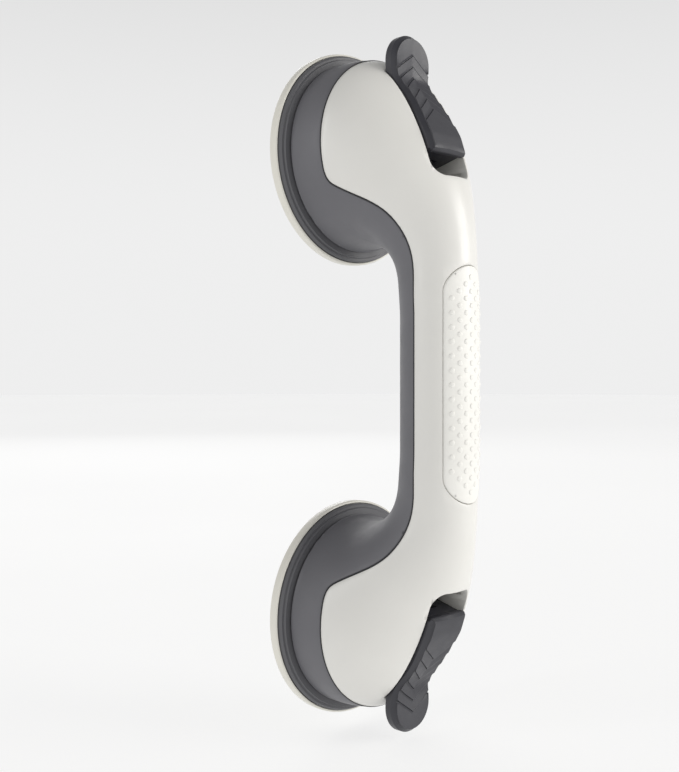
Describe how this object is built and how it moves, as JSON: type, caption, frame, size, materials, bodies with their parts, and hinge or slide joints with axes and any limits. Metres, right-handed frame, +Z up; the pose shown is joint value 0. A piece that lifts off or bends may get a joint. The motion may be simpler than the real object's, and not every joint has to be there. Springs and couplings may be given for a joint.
{
  "type": "suction grab bar",
  "caption": "Curved grab bar with a two-colour moulded handle, a bumpy grip insert and a lever-locked suction cup at each end",
  "frame": {"origin": "on the wall plane, midway between the axes of the two suction cups", "axes": "+Z up along the bar, +Y into the wall, +X to the right seen from the front; the bar stands out from the wall towards -Y"},
  "size_m": [0.095, 0.0718, 0.3008],
  "materials": {
    "cover_plastic": "satin moulded ABS, warm white",
    "shell_plastic": "satin moulded ABS, mid grey",
    "grip_elastomer": "soft white elastomer with round bumps",
    "ring_plastic": "satin moulded ABS, dark grey",
    "lever_plastic": "fine-textured nylon, charcoal",
    "pad_elastomer": "smooth soft elastomer, cream white",
    "stem_plastic": "natural acetal",
    "plate_steel": "pressed stainless steel",
    "pin_steel": "ground steel",
    "spring_steel": "spring wire",
    "screw_steel": "zinc-plated screws"
  },
  "bodies": {
    "bar": {"front_cover": "cover_plastic", "back_shell": "shell_plastic", "grip_pad": "grip_elastomer", "grip_screws": "screw_steel", "upper_suction_pad": "pad_elastomer", "upper_base_ring": "ring_plastic", "upper_return_spring": "spring_steel", "upper_cam_plate": "plate_steel", "upper_ring_screws": "screw_steel", "lower_suction_pad": "pad_elastomer", "lower_base_ring": "ring_plastic", "lower_return_spring": "spring_steel", "lower_cam_plate": "plate_steel", "lower_ring_screws": "screw_steel"},
    "upper_stem": {"upper_pad_stem": "stem_plastic", "upper_lever_pin": "pin_steel"},
    "upper_lever_arm": {"upper_lever": "lever_plastic"},
    "lower_stem": {"lower_pad_stem": "stem_plastic", "lower_lever_pin": "pin_steel"},
    "lower_lever_arm": {"lower_lever": "lever_plastic"}
  },
  "joints": [
    {"name": "upper_stem_slide", "type": "slide", "parent": "bar", "child": "upper_stem", "axis": [0, 1, 0], "range_m": [0, 0.0035], "deforming": ["upper_suction_pad", "upper_return_spring"]},
    {"name": "upper_lever_turn", "type": "hinge", "parent": "upper_stem", "child": "upper_lever_arm", "pos_m": [0, -0.042, 0.101], "axis": [1, 0, 0], "range_deg": [0, 85]},
    {"name": "lower_stem_slide", "type": "slide", "parent": "bar", "child": "lower_stem", "axis": [0, 1, 0], "range_m": [0, 0.0035], "deforming": ["lower_suction_pad", "lower_return_spring"]},
    {"name": "lower_lever_turn", "type": "hinge", "parent": "lower_stem", "child": "lower_lever_arm", "pos_m": [0, -0.042, -0.101], "axis": [-1, 0, 0], "range_deg": [0, 85]}
  ],
  "couplings": [
    {"joint": "upper_stem_slide", "follows": "upper_lever_turn", "m_per_rad": 0.0023592},
    {"joint": "lower_stem_slide", "follows": "lower_lever_turn", "m_per_rad": 0.0023592}
  ]
}
